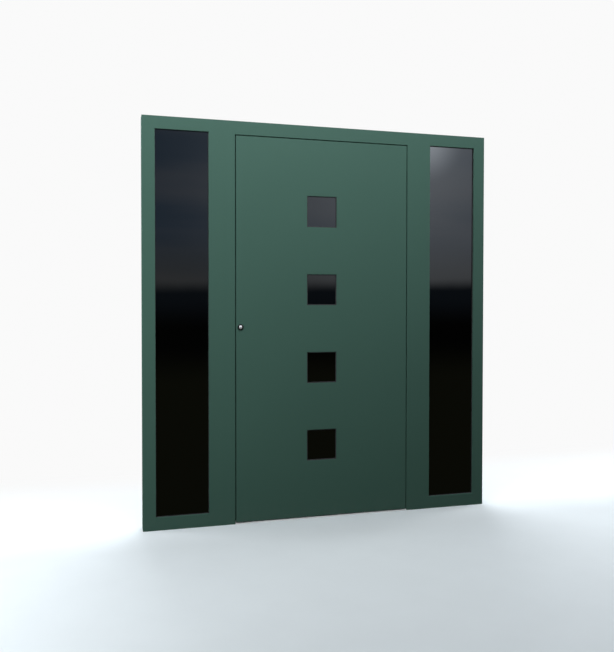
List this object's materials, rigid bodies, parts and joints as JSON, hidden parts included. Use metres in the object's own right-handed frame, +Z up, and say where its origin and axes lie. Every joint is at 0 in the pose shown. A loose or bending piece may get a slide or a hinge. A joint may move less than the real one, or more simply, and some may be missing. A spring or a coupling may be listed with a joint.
{
  "type": "aluminium front door",
  "caption": "Flush aluminium front door with a column of square windows, hung in a thermally broken frame with glazed sidelights, with a multi-point lock and an inside lever.",
  "frame": {"origin": "on the floor, under the middle of the threshold, halfway through the frame's depth", "axes": "+X to the right seen from outside, +Y inwards, +Z up"},
  "size_m": [2, 0.1415, 2.2],
  "materials": {
    "green_coat": "satin",
    "polyamide": "matte",
    "mill_aluminium": "satin",
    "silver_anodised": "satin",
    "dark_glass": "polished",
    "spacer_black": "matte",
    "black_rubber": "matte",
    "grey_plastic": "satin",
    "foam": "matte",
    "stainless": "satin",
    "zinc_steel": "satin",
    "nickel_brass": "satin",
    "dark_rose": "satin"
  },
  "bodies": {
    "frame": {"head": "green_coat", "left_jamb": "green_coat", "right_jamb": "green_coat", "left_mullion": "green_coat", "right_mullion": "green_coat", "left_sill": "green_coat", "right_sill": "green_coat", "frame_thermal_strips": "polyamide", "corner_cleats": "mill_aluminium", "tee_connectors": "mill_aluminium", "threshold": "silver_anodised", "left_panes": "dark_glass", "right_panes": "dark_glass", "left_spacers": "spacer_black", "right_spacers": "spacer_black", "left_outer_gasket": "black_rubber", "right_outer_gasket": "black_rubber", "left_inner_gasket": "black_rubber", "right_inner_gasket": "black_rubber", "left_beads": "green_coat", "right_beads": "green_coat", "setting_blocks": "grey_plastic", "stop_gasket": "black_rubber", "main_strike": "stainless", "side_strikes": "stainless", "frame_hinge_wings": "green_coat", "hinge_pins": "zinc_steel", "frame_screws": "stainless"},
    "leaf": {"lock_stile": "green_coat", "hinge_stile": "green_coat", "top_rail": "green_coat", "bottom_rail": "green_coat", "leaf_thermal_strips": "polyamide", "outer_sheet": "green_coat", "inner_sheet": "green_coat", "insulation_core": "foam", "window_panes_1": "dark_glass", "window_panes_2": "dark_glass", "window_panes_3": "dark_glass", "window_panes_4": "dark_glass", "window_spacers": "spacer_black", "window_seals": "black_rubber", "window_trims": "green_coat", "bottom_seal": "black_rubber", "lock_faceplate": "stainless", "main_lock_case": "zinc_steel", "side_lock_cases": "zinc_steel", "lock_cylinder": "nickel_brass", "outer_rose": "dark_rose", "inner_roses": "stainless", "leaf_hinge_wings": "green_coat", "hinge_bushes": "grey_plastic", "leaf_screws": "stainless"},
    "lever": {"lever_handle": "stainless"},
    "latch": {"latch_bolt": "zinc_steel"},
    "thumb_turn": {"thumb_turn": "stainless"},
    "key_plug": {"key_plug": "nickel_brass"},
    "bolts": {"deadbolt": "zinc_steel", "side_bolts": "zinc_steel"},
    "drive_rods": {"lock_drive_rods": "zinc_steel"}
  },
  "joints": [
    {"name": "leaf_swing", "type": "hinge", "parent": "frame", "child": "leaf", "pos_m": [0.517, 0.0495, 0], "axis": [0, 0, -1], "range_deg": [0, 110]},
    {"name": "lever_turn", "type": "hinge", "parent": "leaf", "child": "lever", "pos_m": [-0.476, 0.0375, 0.988], "axis": [0, 1, 0], "range_deg": [0, 40], "stiffness_Nm_per_rad": 1.5, "springref_deg": -28.65},
    {"name": "latch_slide", "type": "slide", "parent": "leaf", "child": "latch", "axis": [1, 0, 0], "range_m": [0, 0.012]},
    {"name": "thumb_turn_spin", "type": "hinge", "parent": "leaf", "child": "thumb_turn", "pos_m": [-0.476, 0.0375, 1.08], "axis": [0, 1, 0], "range_deg": [0, 360]},
    {"name": "key_plug_spin", "type": "hinge", "parent": "leaf", "child": "key_plug", "pos_m": [-0.476, -0.0375, 1.08], "axis": [0, 1, 0], "range_deg": [0, 360]},
    {"name": "bolts_slide", "type": "slide", "parent": "leaf", "child": "bolts", "axis": [-1, 0, 0], "range_m": [0, 0.02]},
    {"name": "drive_rods_slide", "type": "slide", "parent": "leaf", "child": "drive_rods", "axis": [0, 0, 1], "range_m": [0, 0.012]}
  ],
  "couplings": [
    {"joint": "latch_slide", "follows": "lever_turn", "m_per_rad": 0.017188},
    {"joint": "thumb_turn_spin", "follows": "bolts_slide", "rad_per_m": 314.16},
    {"joint": "key_plug_spin", "follows": "bolts_slide", "rad_per_m": 314.16},
    {"joint": "drive_rods_slide", "follows": "bolts_slide", "ratio": 0.6}
  ]
}
